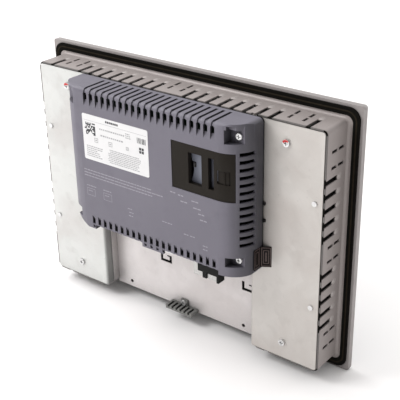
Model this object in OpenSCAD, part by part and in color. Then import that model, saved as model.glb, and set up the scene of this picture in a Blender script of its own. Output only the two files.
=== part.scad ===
// Panel-mount touch display with a vented sheet-metal chassis and a plastic electronics housing.
// The screen faces -Y and the rear faces +Y. The origin is the centre of the panel cutout,
// on the plane where the panel gasket meets the cabinet wall.

/* [Front] */
// Width of the front frame
front_w = 400; // [394:1:420]
// Height of the front frame
front_h = 292; // [288:1:310]
// Thickness of the front frame
front_t = 6.6; // [6.2:0.2:9]
// Corner radius of the front frame
front_corner_r = 3; // [1:0.5:6]
// Width of the display window
window_w = 306; // [290:1:308]
// Height of the display window
window_h = 230; // [220:1:232]
// Thickness of the panel gasket
gasket_t = 2; // [1.6:0.2:3]
// Height of one gasket strip above and below the chassis
gasket_band = 8; // [6:0.5:8]

/* [Chassis] */
// Outside width of the chassis
tray_w = 370.4; // [369:0.2:371]
// Outside height of the chassis
tray_h = 263; // [262.6:0.2:264]
// Distance from the gasket face to the outside of the rear covers
cover_y = 37.3; // [37.3:0.1:38]
// Thickness of the chassis sheet
sheet_t = 1.2; // [0.8:0.1:1.5]
// Outside corner radius of the chassis
tray_corner_r = 4.5; // [3:0.5:6]
// Spacing of the ventilation slots
slot_pitch = 14.6; // [14:0.1:14.6]
// Width of one ventilation slot
slot_w = 5.2; // [3:0.1:5.4]
// Width of one clamp slot
clamp_slot_w = 3.2; // [2:0.1:3.4]

/* [Rear covers] */
// Distance from the middle to the inner edge of each rear cover
cover_inner_x = 104; // [104:0.5:106]
// Thickness of the cover sheet
cover_t = 1; // [0.8:0.1:1.2]
// Rear face of the recessed centre plate
plate_y = 18.5; // [17.5:0.5:20]
// Radius of the cover screw heads
cover_screw_r = 3.6; // [3:0.1:4]

/* [Housing] */
// Width of the electronics housing
box_w = 237; // [236.6:0.2:237.4]
// Sideways place of the middle of the housing
box_x = 0; // [-0.2:0.1:0.2]
// Top of the housing
box_top = 131; // [130.6:0.1:131.2]
// Lowest edge of the housing
box_bottom = -30.6; // [-31:0.1:-30]
// Rear face of the housing
box_rear = 75; // [74.8:0.1:75.4]
// Wall thickness of the housing
box_wall = 2.4; // [2:0.1:2.6]
// Radius between the rear face and the sides
box_side_r = 28; // [26:0.5:29]
// Number of vent columns
vent_count = 21; // [15:2:21]
// Spacing of the vent columns
vent_pitch = 8.2; // [8:0.1:8.2]
// Number of vents in each side
side_vent_count = 13; // [9:1:13]

/* [Motion] */
// Travel of the card lock
lock_travel = 6; // [4:0.5:6]
// Travel of the eject button
eject_travel = 5; // [2:0.5:5]

/* [Hidden] */

$fn = 48;
cut = 1; // overshoot of a cutting solid

// Front stack, from the outside inwards
front_y = -gasket_t - front_t;
frame_back = -gasket_t;
overlay_t = 0.5;
overlay_margin = 5;
overlay_w = front_w - 2 * overlay_margin;
overlay_h = front_h - 2 * overlay_margin;
glass_t = 3;
glass_w = window_w + 24;
glass_h = window_h + 24;
glass_front = front_y + overlay_t;
glass_back = glass_front + glass_t;
lcd_w = 326;
lcd_h = 250;
lcd_front = frame_back - 0.1;
lcd_t = 11.5;
lcd_back_y = lcd_front + lcd_t;
seal_t = 1.1;
fit_gap = 0.3;

// Chassis
flange_t = 1.4;
flange_y = frame_back + flange_t;
flange_w = tray_w + 9.2;
flange_h = tray_h + 7;
ledge_w = 334;
ledge_h = 258;
cover_inside = cover_y - cover_t;
wall_end = cover_inside - 1;
middle_wall_end = cover_y - 0.3;
flange_fillet_r = 3;
cover_inset = 1.9;
cover_bend_r = 3;
slot_start = 15.5;
first_slot = 20.7;
top_slots_each_side = 8;
side_slots_each_side = 5;
end_slot_x = 164.5;
clamp_mid = 8;
clamp_top_xs = [-153, -137, -clamp_mid, clamp_mid, 137, 153];
clamp_side_zs = [-107.5, -91.2, -clamp_mid, clamp_mid, 91.2, 107.5];
clamp_rear = [17.8, 27.2];
clamp_front = [5, 15.3];
frame_screw_x = 171.5;
frame_screw_zs = [-108, -54, 0, 54, 108];
ledge_screw_r = 1.5;

// Covers and centre plate
cover_screw_x = 142.9;
cover_screw_z = 110.8;
stud_x = 175;
stud_z = 57;
cover_fold_end = 24.5;
plate_t = 1.2;
plate_half_w = cover_inner_x - cover_t - fit_gap;
plate_flange_y = 27;
plate_bottom = -tray_h / 2 - 0.9;
plate_top = 129.6;
plate_hole_x = 80.8;
plate_hole_z = -125.3;
plate_hole_r = 2.1;
comb_screw_z = -124.4;
tie_slots = [[26, -75.8], [-86.8, -74.6]];
tie_slot_w = 16;
tie_slot_h = 11;
tie_slot_line = 3.3;
bracket_y = lcd_back_y + 0.2;
bracket_t = 1.2;
bracket_top = bracket_y + bracket_t;
bracket_half_w = 178;
bracket_half_h = 114;

// Housing
box_y = cover_y + 0.2;
base_t = 2.4;
base_y = box_y + base_t;
shell_front = base_y + 0.3;
box_half = box_w / 2;
base_inset = 0.7;
top_edge_r = 4.5;
bottom_corner_r = 3;
bevel_x = 88;
bevel_angle = 31;
top_corner_r = 5;
window_left = -34;
window_right = -107.5;
window_low = 51;
window_high = 101.5;
foot_left = 77;
foot_right = -90;
bottom_edge = -26;
grille_left = 10;
grille_right = -19;
vent_w = 3.2;
vent_hole_w = 5;
low_vent_w = 4;
top_slot_front = 44.5;
vent_mid_x = -2.8;
first_vent_x = vent_mid_x + vent_pitch * (vent_count - 1) / 2;
side_vent_pitch = 8;
side_vent_h = 4;
side_vent_front = 51.7;
side_vent_rear = 66.9;
side_vent_top = 100.3;
box_screw_left = 101.1;
box_screw_right = -108;
box_screw_top = 118;
box_screw_low = -13.2;
pocket_floor = 63;
pocket_x = 97.5;
boss_r = 4.6;
spacer_x = 88;
spacer_zs = [-12, 108];
tab_zs = [23.5, 42];

// Card bay
bay_back = 69.5;
bay_gap = 0.35;
bay_flange = 1.5;
bay_flange_y = 66;
big_slot = [-71, -54.8];
small_slot = [-85.6, -79];
slot_low = 60.3;
slot_high = 93;
lock_tab = [-102.6, -96];
lock_slot = [lock_tab[0] - 0.4, lock_tab[1] + lock_travel + 0.6];
lock_slot_z = [69, 82.6];
lock_shelf_y = 73.2;
lock_y = 67.8;
lock_t = 1.4;
guide_top = 67.5;
guide_bottom = 64.7;
scoop_r = 22.7;
scoop_x = -33.6;
scoop_z = 73.5;
scoop_small_r = 42.9;
scoop_small_x = -33.8;
eject_x = -57.9;
eject_z = 78.5;

// Boards
board_y = 57;
board_t = 1.6;
board_top = board_y + board_t;
board_x = [-99, 93];
board_z = [-22, 124];
standoff_xs = [-92, -3, 86];
standoff_zs = [-8, 98];
battery_r = 5.4;
battery_y = board_top + 6.6;
power_y = 43;
power_x = [-86, -8];
power_z = [-20, 48];

// Connectors
io_z = -24.2;
io_t = 1.2;
io_x = [foot_right + 1, foot_left - 1];
io_y = [base_y + fit_gap, box_rear - box_wall - fit_gap];
usb_xs = [-61.2, -78.9];
usb_w = 12.2;
usb_y = [63.4, 70.6];
usb_end = -43.2;
lan_xs = [14, 33];
lan_w = 16;
lan_y = [58.7, 71.8];
lan_end = -27;
lan_top = -8;
serial_x = -18;
serial_y = 64;
power_in_x = 60;
ground_x = -42;
ground_y = 52;

// A box between two corners
module block(x, y, z) {
  translate([x[0], y[0], z[0]]) cube([x[1] - x[0], y[1] - y[0], z[1] - z[0]]);
}

// A rectangle with round corners, centred on the origin
module rounded_rect(w, h, r) {
  square([w - 2 * r, h], center = true);
  square([w, h - 2 * r], center = true);
  for (sx = [-1, 1], sz = [-1, 1]) translate([sx * (w / 2 - r), sz * (h / 2 - r)]) circle(r);
}

// A plate in the XZ plane with round corners, between two Y planes
module slab(w, h, r, y0, y1) {
  translate([0, y1, 0]) rotate([90, 0, 0]) linear_extrude(y1 - y0) rounded_rect(w, h, r);
}

// A slab with a rounded window through it
module ring(w, h, r, inner_w, inner_h, inner_r, y0, y1) {
  difference() {
    slab(w, h, r, y0, y1);
    slab(inner_w, inner_h, inner_r, y0 - cut, y1 + cut);
  }
}

// Rods along the three axes
module rod_y(x, z, r, y0, y1) {
  translate([x, y1, z]) rotate([90, 0, 0]) cylinder(r = r, h = y1 - y0);
}

module rod_z(x, y, r, z0, z1) {
  translate([x, y, z0]) cylinder(r = r, h = z1 - z0);
}

module rod_x(y, z, r, x0, x1) {
  translate([x0, y, z]) rotate([0, 90, 0]) cylinder(r = r, h = x1 - x0);
}

// A hexagonal post along Y
module hex_post(x, z, across, y0, y1) {
  translate([x, y1, z]) rotate([90, 0, 0]) cylinder(d = across / cos(30), h = y1 - y0, $fn = 6);
}

// A pan-head screw along Y with a cross recess; its head sits on seat_y
module screw_y(x, z, head_r, head_h, shank_r, seat_y, tip_y) {
  difference() {
    rod_y(x, z, head_r, seat_y, seat_y + head_h);
    cross_recess(x, z, head_r, seat_y + head_h);
  }
  rod_y(x, z, shank_r, tip_y, seat_y);
}

module cross_recess(x, z, head_r, y) {
  arm = head_r * 0.6;
  half = head_r * 0.13;
  block([x - arm, x + arm], [y - head_r * 0.3, y + cut], [z - half, z + half]);
  block([x - half, x + half], [y - head_r * 0.3, y + cut], [z - arm, z + arm]);
}

// A profile in the YZ plane, extruded along X about x
module side_cut(x, w, points) {
  translate([x - w / 2, 0, 0]) rotate([90, 0, 90]) linear_extrude(w) polygon(points);
}

// --- Front -------------------------------------------------------------------------------

module front_frame() {
  color("#8d8886") difference() {
    slab(front_w, front_h, front_corner_r, front_y, frame_back);
    slab(overlay_w + 0.4, overlay_h + 0.4, 2, front_y - cut, glass_front);
    slab(glass_w + 0.6, glass_h + 0.6, 2, glass_front - cut, glass_back);
    slab(window_w + 2, window_h + 2, 1, glass_back - cut, frame_back + cut);
    slab(lcd_w + 0.6, lcd_h + 0.6, 1, lcd_front - seal_t, frame_back + cut);
    for (sx = [-1, 1], z = frame_screw_zs)
      rod_y(sx * frame_screw_x, z, ledge_screw_r, frame_back - 4.5, frame_back + cut);
  }
}

module front_overlay() {
  color("#5f6468") ring(overlay_w, overlay_h, 2, window_w, window_h, 1, front_y, glass_front);
}

module touch_glass() {
  color("#23282b") slab(glass_w, glass_h, 2, glass_front, glass_back);
}

module touch_seal() {
  color("#2a2a2a")
    ring(lcd_w, lcd_h, 1, window_w + 2, window_h + 2, 1, lcd_front - seal_t, lcd_front);
}

module panel_gasket() {
  inner_w = flange_w + 0.8;
  inner_h = flange_h + 0.6;
  color("#161514") ring(
    inner_w + 2 * gasket_band - 2, inner_h + 2 * gasket_band, 12, inner_w, inner_h, 8,
    frame_back, 0);
}

// --- Display -----------------------------------------------------------------------------

module lcd_frame() {
  color("#b9bcbd") {
    ring(lcd_w, lcd_h, 1, window_w, window_h, 1, lcd_front, lcd_front + 0.8);
    ring(lcd_w, lcd_h, 1, lcd_w - 2, lcd_h - 2, 0.5, lcd_front + 0.8, lcd_back_y);
  }
}

module lcd_glass() {
  color("#11161a") slab(lcd_w - 3, lcd_h - 3, 0.5, lcd_front + 0.8, lcd_front + 2.4);
}

module diffuser_sheet() {
  color("#f2f2ee") slab(lcd_w - 4, lcd_h - 4, 0.5, lcd_front + 2.6, lcd_front + 3.2);
}

module light_guide() {
  color("#dfe9ea") slab(lcd_w - 5, lcd_h - 18, 0.5, lcd_front + 3.4, lcd_front + 9.4);
}

module backlight_tubes() {
  color("#fafaf5") for (sz = [-1, 1])
    rod_x(lcd_front + 6.4, sz * (lcd_h / 2 - 5), 1.3, -lcd_w / 2 + 6, lcd_w / 2 - 6);
}

module lcd_back() {
  color("#c9cccc") difference() {
    slab(lcd_w - 2.4, lcd_h - 2.4, 0.5, lcd_front + 9.8, lcd_back_y);
    for (sx = [-1, 1]) slab_hole(sx * 60);
  }
}

// A rounded hole for the display connectors
module slab_hole(x) {
  translate([x, 0, 60]) slab(30, 12, 2, lcd_front, lcd_back_y + cut);
}

module display_bracket() {
  color("#a9aaa6") difference() {
    union() {
      slab(2 * bracket_half_w, 2 * bracket_half_h, 3, bracket_y, bracket_top);
      for (sx = [-1, 1]) bracket_leg(sx);
    }
    slab(190, 150, 6, bracket_y - cut, bracket_top + cut);
    for (sx = [-1, 1], sz = [-1, 1])
      rod_y(sx * cover_screw_x, sz * cover_screw_z, 1.6, bracket_y - cut, bracket_top + cut);
  }
}

module bracket_leg(side) {
  edges = side > 0 ? [bracket_half_w - sheet_t, bracket_half_w] : [-bracket_half_w, sheet_t - bracket_half_w];
  block(edges, [flange_y, bracket_y + 0.1], [-bracket_half_h + 5, bracket_half_h - 5]);
}

module frame_screws() {
  color("#d5d7d6") for (sx = [-1, 1], z = frame_screw_zs)
    screw_y(sx * frame_screw_x, z, 2.7, 1.8, ledge_screw_r - 0.05, flange_y, frame_back - 4);
}

module inverter_board() {
  color("#2f6b45") block([112, 168], [bracket_top + 4, bracket_top + 5.6], [-70, 70]);
}

module inverter_parts() {
  y = bracket_top + 5.6;
  color("#d9b23a") for (z = [-42, 42]) block([122, 150], [y, y + 8], [z - 12, z + 12]);
  color("#e9e5d8") for (z = [-62, 62]) block([154, 164], [y, y + 6], [z - 5, z + 5]);
  color("#b9bcbd") for (x = [116, 164], z = [-54, 0, 54]) rod_y(x, z, 2, bracket_top, bracket_top + 4);
}

// Flat cable from the display, up through the centre plate and the base, to the mainboard
module display_cable() {
  color("#d8d3c4") side_cut(60, 24, [
    [bracket_y - 0.2, 54], [bracket_top + 1.6, 54], [bracket_top + 1.6, 31], [board_y, 31],
    [board_y, 30.4], [bracket_top + 1, 30.4], [bracket_top + 1, 53.4], [bracket_y - 0.2, 53.4]
  ]);
}

// --- Chassis -----------------------------------------------------------------------------

function row(first, pitch, count) = [for (s = [-1, 1], k = [0:count - 1]) s * (first + pitch * k)];
top_slot_xs = concat(row(first_slot, slot_pitch, top_slots_each_side), [-end_slot_x, end_slot_x]);
side_slot_zs = row(first_slot, slot_pitch, side_slots_each_side);

module chassis_tray() {
  color("#96908b") difference() {
    union() {
      ring(
        tray_w, tray_h, tray_corner_r, tray_w - 2 * sheet_t, tray_h - 2 * sheet_t,
        tray_corner_r - sheet_t, frame_back, wall_end);
      ring(flange_w, flange_h, tray_corner_r + 3, ledge_w, ledge_h, 2, frame_back, flange_y);
      block([-102, 102], [wall_end - 0.1, middle_wall_end], [tray_h / 2 - sheet_t, tray_h / 2]);
      flange_fillets();
    }
    for (x = top_slot_xs) tray_slot_x(x, slot_w, slot_start, cover_y);
    for (x = clamp_top_xs, y = [clamp_rear, clamp_front]) tray_slot_x(x, clamp_slot_w, y[0], y[1]);
    for (z = side_slot_zs) tray_slot_z(z, slot_w, slot_start, wall_end + cut);
    for (z = clamp_side_zs, y = [clamp_rear, clamp_front]) tray_slot_z(z, clamp_slot_w, y[0], y[1]);
    block(
      [-cover_inner_x, cover_inner_x], [plate_y - plate_t - 0.1, wall_end + cut],
      [-tray_h / 2 - cut, -tray_h / 2 + tray_corner_r]);
    for (sx = [-1, 1], z = frame_screw_zs)
      rod_y(sx * frame_screw_x, z, ledge_screw_r + 0.2, frame_back - cut, flange_y + cut);
  }
}

// Concave fillets where the chassis walls turn into the flange
module flange_fillets() {
  x = tray_w / 2 - tray_corner_r;
  z = tray_h / 2 - tray_corner_r;
  for (s = [-1, 1]) {
    translate([-x, 0, 0]) rotate([90, 0, 90]) linear_extrude(2 * x) fillet_profile(s, tray_h / 2);
    translate([0, 0, -z]) linear_extrude(2 * z) side_fillet_profile(s, tray_w / 2);
    for (t = [-1, 1]) translate([s * x, 0, t * z]) rotate([-90, 0, 0]) rotate_extrude() corner_fillet_profile();
  }
}

// Profile in (Y, Z) for the top and bottom walls
module fillet_profile(side, edge) {
  r = flange_fillet_r;
  difference() {
    translate([flange_y - 0.1, side > 0 ? edge - 0.1 : -edge - r]) square([r + 0.1, r + 0.1]);
    translate([flange_y + r, side * (edge + r)]) circle(r);
  }
}

// Profile in (X, Y) for the side walls
module side_fillet_profile(side, edge) {
  r = flange_fillet_r;
  difference() {
    translate([side > 0 ? edge - 0.1 : -edge - r, flange_y - 0.1]) square([r + 0.1, r + 0.1]);
    translate([side * (edge + r), flange_y + r]) circle(r);
  }
}

// Profile in (radius, Y) about a chassis corner
module corner_fillet_profile() {
  r = flange_fillet_r;
  difference() {
    translate([tray_corner_r - 0.1, flange_y - 0.1]) square([r + 0.1, r + 0.1]);
    translate([tray_corner_r + r, flange_y + r]) circle(r);
  }
}

// Slots through the top and bottom walls at x, and through both side walls at z
module tray_slot_x(x, w, y0, y1) {
  for (sz = [-1, 1])
    translate([x - w / 2, y0, sz * tray_h / 2 - 3]) cube([w, y1 - y0, 6]);
}

module tray_slot_z(z, w, y0, y1) {
  for (sx = [-1, 1])
    translate([sx * tray_w / 2 - 3, y0, z - w / 2]) cube([6, y1 - y0, w]);
}

module rear_cover_left() {
  color("#d4d7d8") rear_cover();
}

module rear_cover_right() {
  color("#cfcdca") mirror([1, 0, 0]) rear_cover();
}

// Flat cover with rounded outer corners and a folded inner edge
module rear_cover() {
  inner = cover_inner_x - cover_t;
  edge = 2 * cover_inset;
  fold_h = tray_h - 3.4;
  difference() {
    union() {
      intersection() {
        slab(tray_w - edge, tray_h - edge, tray_corner_r - cover_inset, cover_inside, cover_y);
        block([inner + cover_bend_r, tray_w], [cover_inside - cut, cover_y + cut], [-tray_h, tray_h]);
      }
      translate([0, 0, -fold_h / 2]) linear_extrude(fold_h) cover_fold(inner);
    }
    for (sz = [-1, 1]) {
      rod_y(cover_screw_x, sz * cover_screw_z, 2, cover_inside - cut, cover_y + cut);
      rod_y(stud_x, sz * stud_z, 1.55, cover_inside - cut, cover_y + cut);
    }
  }
}

// Fold profile in (X, Y): a rounded bend and the leg below it
module cover_fold(inner) {
  r = cover_bend_r;
  difference() {
    intersection() {
      translate([inner + r, cover_y - r]) circle(r);
      translate([inner - cut, cover_y - r]) square([r + cut + 0.05, r + cut]);
    }
    translate([inner + r, cover_y - r]) circle(r - cover_t);
  }
  translate([inner, cover_fold_end]) square([cover_t, cover_y - r - cover_fold_end + 0.05]);
}

// Dark foam seals between the chassis rim and the covers
module cover_seals() {
  color("#0f0e0e") intersection() {
    ring(tray_w - 0.8, tray_h - 0.8, tray_corner_r - 0.4, tray_w - 7, tray_h - 7, 1, wall_end, cover_inside);
    union() for (s = [-1, 1]) translate([s * 150, 0, 0])
      block([-42, 42], [wall_end - cut, cover_inside + cut], [-tray_h, tray_h]);
  }
}

module cover_posts() {
  color("#c8c9c7") for (sx = [-1, 1], sz = [-1, 1]) difference() {
    hex_post(sx * cover_screw_x, sz * cover_screw_z, 6, bracket_top, cover_inside);
    rod_y(sx * cover_screw_x, sz * cover_screw_z, 1.5, cover_inside - 12, cover_inside + cut);
  }
}

module cover_screws() {
  color("#dcdcda") for (sx = [-1, 1], sz = [-1, 1])
    screw_y(sx * cover_screw_x, sz * cover_screw_z, cover_screw_r, 2.2, 1.45, cover_y, cover_y - 9);
}

module cover_studs() {
  color("#d6d6d4") for (sx = [-1, 1], sz = [-1, 1]) {
    rod_y(sx * stud_x, sz * stud_z, 2.7, cover_y, cover_y + 1.3);
    rod_y(sx * stud_x, sz * stud_z, 1.5, cover_y - 5, cover_y);
  }
}

module center_plate() {
  color("#d3d0cd") difference() {
    union() {
      block([-plate_half_w, plate_half_w], [plate_y - plate_t, plate_y], [plate_bottom, plate_top]);
      for (sx = [-1, 1]) plate_flange(sx);
    }
    for (sx = [-1, 1])
      rod_y(sx * plate_hole_x, plate_hole_z, plate_hole_r, plate_y - plate_t - cut, plate_y + cut);
    for (c = tie_slots) tie_slot(c[0], c[1]);
    for (sx = [-1, 1], z = spacer_zs)
      rod_y(box_x + sx * spacer_x, z, 1.6, plate_y - plate_t - cut, plate_y + cut);
    block([46, 74], [plate_y - plate_t - cut, plate_y + cut], [26, 36]);
    rod_y(0, comb_screw_z, 1.6, plate_y - plate_t - cut, plate_y + cut);
  }
}

module plate_flange(side) {
  edges = side > 0 ? [plate_half_w - plate_t, plate_half_w] : [-plate_half_w, plate_t - plate_half_w];
  block(edges, [plate_y - 0.1, plate_flange_y], [3 - tray_h / 2, plate_top]);
}

// U-shaped punched slot that leaves a tongue for a cable tie
module tie_slot(x, z) {
  y = [plate_y - plate_t - cut, plate_y + cut];
  left = x + tie_slot_w / 2;
  right = x - tie_slot_w / 2;
  low = z - tie_slot_h / 2;
  high = z + tie_slot_h / 2;
  block([right, left], y, [low, low + tie_slot_line]);
  block([left - tie_slot_line, left], y, [low, high]);
  block([right, right + tie_slot_line], y, [low, high - 1.5]);
  block([right, right + 2 * tie_slot_line], y, [high - 1.5 - tie_slot_line / 2, high - 1.5]);
}

module box_spacers() {
  color("#c8c9c7") for (sx = [-1, 1], z = spacer_zs) difference() {
    hex_post(box_x + sx * spacer_x, z, 7, plate_y, box_y);
    rod_y(box_x + sx * spacer_x, z, 1.6, plate_y - cut, box_y + cut);
  }
}

// --- Housing -----------------------------------------------------------------------------

// Plan outline (X, Y) of the housing, drawn in by inset
module box_plan(inset) {
  r = box_side_r - inset;
  half = box_half - inset;
  rear = box_rear - inset;
  translate([-half, box_y - cut]) square([2 * half, rear - r - box_y + cut]);
  translate([r - half, box_y - cut]) square([2 * (half - r), rear - box_y + cut]);
  for (s = [-1, 1]) translate([s * (half - r), rear - r]) circle(r, $fn = 96);
}

// Side outline (Y, Z) of the housing, with round rear edges
module box_side(inset) {
  r = top_edge_r - inset;
  rear = box_rear - inset;
  top = box_top - inset;
  low = box_bottom + inset;
  translate([box_y - cut, low]) square([rear - r - box_y + cut, top - low]);
  translate([box_y - cut, low]) square([rear - box_y + cut, top - low - r]);
  translate([rear - r, top - r]) circle(r);
}

// Rear outline (X, Z) of the housing; its lower left corner is bevelled
module box_rear_outline(inset) {
  half = box_half - inset;
  top = box_top - inset;
  low = box_bottom + inset;
  rt = top_corner_r - inset;
  rb = bottom_corner_r - inset;
  difference() {
    union() {
      translate([-half, low + rb]) square([2 * half, top - low - rb - rt]);
      translate([rt - half, top - rt - 1]) square([2 * (half - rt), rt + 1]);
      translate([rb - half, low]) square([2 * (half - rb), rb + 1]);
      for (s = [-1, 1]) {
        translate([s * (half - rt), top - rt]) circle(rt);
        translate([s * (half - rb), low + rb]) circle(rb);
      }
    }
    translate([bevel_x, box_bottom]) rotate(bevel_angle) translate([-10, inset - 40]) square([70, 40]);
  }
}

// Solid of the housing, from its front face to its rounded rear face
module box_solid(inset, front) {
  translate([box_x, 0, 0]) intersection() {
    translate([0, 0, box_bottom - cut]) linear_extrude(box_top - box_bottom + 2 * cut) box_plan(inset);
    translate([-box_half - cut, 0, 0]) rotate([90, 0, 90]) linear_extrude(box_w + 2 * cut) box_side(inset);
    translate([0, box_rear + cut, 0]) rotate([90, 0, 0])
      linear_extrude(box_rear + cut - front) box_rear_outline(inset);
  }
}

// The four corner pockets of the housing screws, grown by a margin
module screw_pockets(margin) {
  for (side = [-1, 1]) translate([box_x, 0, 0]) scale_side(side) {
    block([pocket_x - margin, box_half + 5], [pocket_floor - margin, box_rear + 5], [111 - margin, 125 + margin]);
    block([pocket_x + 2 - margin, box_half + 5], [69 - margin, box_rear + 5], [124, 128.6]);
    block([pocket_x - margin, box_half + 5], [pocket_floor - margin, box_rear + 5], [-20 - margin, -9.6 + margin]);
  }
}

// Children as drawn, or mirrored to the other side
module scale_side(side) {
  if (side > 0) children();
  else mirror([1, 0, 0]) children();
}

box_screws_at = [for (x = [box_screw_left, box_screw_right], z = [box_screw_low, box_screw_top]) [box_x + x, z]];

module box_shell() {
  color("#7b7985") difference() {
    box_solid(0, shell_front);
    difference() {
      box_solid(box_wall, box_y - cut);
      screw_pockets(box_wall);
      for (p = box_screws_at) rod_y(p[0], p[1], boss_r, shell_front, pocket_floor);
    }
    screw_pockets(0);
    for (p = box_screws_at) rod_y(p[0], p[1], 1.9, box_y - cut, box_rear);
    for (k = [0:vent_count - 1]) top_vent(first_vent_x - k * vent_pitch);
    for (k = [0:vent_count - 1]) low_vent(first_vent_x - k * vent_pitch);
    for (k = [0:side_vent_count - 1]) side_vents(side_vent_top - k * side_vent_pitch);
    block([window_right, window_left], [64, box_rear + cut], [window_low, window_high]);
    bottom_opening();
  }
}

// Top slot, shallow bridge over the rounded edge, rear hole and fading groove
module top_vent(x) {
  rear = box_rear + cut;
  high = box_top + cut;
  side_cut(x, vent_w, [
    [top_slot_front, high], [rear, high], [rear, 125.5], [box_rear - 1.3, 125.5],
    [box_rear - 1.3, 127.6], [box_rear - 2.6, 129.4], [68, 129.4], [68, 120], [top_slot_front, 120]
  ]);
  side_cut(x, vent_hole_w, [
    [rear, 126], [rear, 112], [box_rear + 0.2, 112], [box_rear - 2.4, 118.6], [68, 118.6], [68, 126]
  ]);
}

// Groove that deepens downwards into a hole, and a blind groove of the same kind below it
module low_vent(x) {
  side_cut(x, low_vent_w, [
    [box_rear + cut, -14.8], [box_rear, -14.8], [box_rear - 2.4, -19.6], [68, -19.6],
    [68, -24.4], [box_rear + cut, -24.4]
  ]);
  side_cut(x, vent_w, [[box_rear + cut, -25], [box_rear, -25], [box_rear - 1.8, -28.8], [box_rear + cut, -28.8]]);
}

module side_vents(z) {
  for (side = [-1, 1]) translate([box_x, 0, 0]) scale_side(side)
    block([box_half - 20, box_half + cut], [side_vent_front, side_vent_rear], [z - side_vent_h / 2, z + side_vent_h / 2]);
}

// Opening below the housing for the connector plate; the grille keeps its full depth
module bottom_opening() {
  inside = box_rear - box_wall;
  block([foot_right, foot_left], [base_y, inside], [box_bottom - cut, -20]);
  block([grille_left, foot_left], [base_y, box_rear + cut], [box_bottom - cut, bottom_edge]);
  block([foot_right, grille_right], [base_y, box_rear + cut], [box_bottom - cut, bottom_edge]);
}

// Dark base between the covers and the shell, with two small tabs on its right edge
module box_base() {
  color("#2a292b") difference() {
    union() {
      intersection() {
        translate([box_x, base_y, 0]) rotate([90, 0, 0]) linear_extrude(base_t) box_rear_outline(base_inset);
        block([-box_w, box_w], [box_y - cut, base_y + cut], [bottom_edge, box_top]);
      }
      for (z = tab_zs) block([box_x - box_half - 2.2, 10 - box_half], [box_y, base_y], [z - 1.4, z + 1.4]);
    }
    for (p = box_screws_at) rod_y(p[0], p[1], 1.4, box_y - cut, base_y + cut);
    for (sx = [-1, 1], z = spacer_zs) rod_y(box_x + sx * spacer_x, z, 1.6, box_y - cut, base_y + cut);
    block([46, 74], [box_y - cut, base_y + cut], [26, 36]);
  }
}

module box_screws() {
  color("#e2e2e0") for (p = box_screws_at) screw_y(p[0], p[1], 3.3, 2.4, 1.35, pocket_floor, box_y);
}

// --- Card bay ----------------------------------------------------------------------------

module card_bay() {
  outer = window_right + bay_gap;
  bay_z = [window_low + bay_gap, window_high - bay_gap];
  color("#34302c") difference() {
    intersection() {
      box_solid(bay_gap, bay_flange_y);
      union() {
        block([outer, window_left - bay_gap], [bay_back, box_rear + cut], bay_z);
        block([outer, outer + bay_flange], [bay_flange_y, box_rear], bay_z);
      }
    }
    block(big_slot, [bay_back - cut, box_rear + cut], [slot_low, slot_high]);
    block(small_slot, [bay_back - cut, box_rear + cut], [slot_low, slot_high]);
    block(lock_slot, [bay_back - cut, box_rear + cut], lock_slot_z);
    block([lock_slot[1] - 0.1, small_slot[0] + cut], [bay_back - cut, lock_shelf_y + 0.4], lock_slot_z);
  }
}

// Inner plate behind the windows, with a finger scoop beside each card
module card_guide() {
  y = [guide_bottom - cut, guide_top + cut];
  color("#6d6c76") difference() {
    union() {
      block([-88.5, -46], [guide_bottom, guide_top], [55, 97.5]);
      for (z = [[55, 56.6], [95.9, 97.5]]) block([-88.5, -46], [board_top, guide_bottom + 0.1], z);
    }
    rod_y(scoop_x, scoop_z, scoop_r, y[0], y[1]);
    intersection() {
      rod_y(scoop_small_x, scoop_z, scoop_small_r, y[0], y[1]);
      block([-90, -72.8], y, [scoop_z - 17, scoop_z + 17]);
    }
    block([eject_x - 1.4, eject_x + 4], y, [eject_z - 2.8, eject_z + 2.8]);
  }
}

module card_lock() {
  grip_low = lock_slot_z[0] + 0.4;
  grip_high = lock_slot_z[1] - 0.4;
  color("#2b2824") {
    block([-105, -87], [lock_y, lock_y + lock_t], [62, 92]);
    intersection() {
      box_solid(bay_gap + 0.9, lock_y);
      block(lock_tab, [lock_y + lock_t - 0.1, box_rear], [grip_low, grip_high]);
    }
    block([lock_tab[1] - 0.1, lock_slot[1] - 0.3], [lock_y + lock_t - 0.1, lock_shelf_y], [grip_low, grip_high]);
    for (x = [-101, -97.3]) intersection() {
      box_solid(bay_gap + 0.1, lock_y);
      block([x - 0.6, x + 0.6], [lock_y + lock_t, box_rear], [grip_low, grip_high]);
    }
  }
}

module card_socket_large() {
  color("#202020") difference() {
    block([-56.2, -45], [board_top, 64.2], [58.5, 94.5]);
    block([-54.4, -51], [60.5, 64.2 + cut], [60.3, 93]);
  }
}

module card_socket_small() {
  color("#202020") difference() {
    block([-83.6, -69], [board_top, 64.2], [60, 93]);
    block([-79.6, -76.4], [60.5, 64.2 + cut], [62, 91]);
  }
}

module eject_button() {
  color("#5a5a60") block([eject_x - 1.1, eject_x + 1.1], [board_top + 0.4 + eject_travel, 69], [eject_z - 2.4, eject_z + 2.4]);
}

// --- Electronics -------------------------------------------------------------------------

module mainboard() {
  color("#24583a") difference() {
    block(board_x, [board_y, board_top], board_z);
    for (x = standoff_xs, z = standoff_zs) rod_y(x, z, 1.7, board_y - cut, board_top + cut);
  }
}

module board_standoffs() {
  color("#c8b565") for (x = standoff_xs, z = standoff_zs) difference() {
    hex_post(x, z, 6, base_y, board_y);
    rod_y(x, z, 1.5, board_y - 8, board_y + cut);
  }
}

module board_screws() {
  color("#d5d7d6") for (x = standoff_xs, z = standoff_zs) screw_y(x, z, 2.8, 1.8, 1.45, board_top, board_y - 6);
}

module cpu_heatsink() {
  color("#b7babb") {
    block([12, 62], [61, 64], [56, 92]);
    for (k = [0:9]) block([12 + k * 5.3, 14.3 + k * 5.3], [63.9, 71.5], [56, 92]);
  }
}

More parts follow.
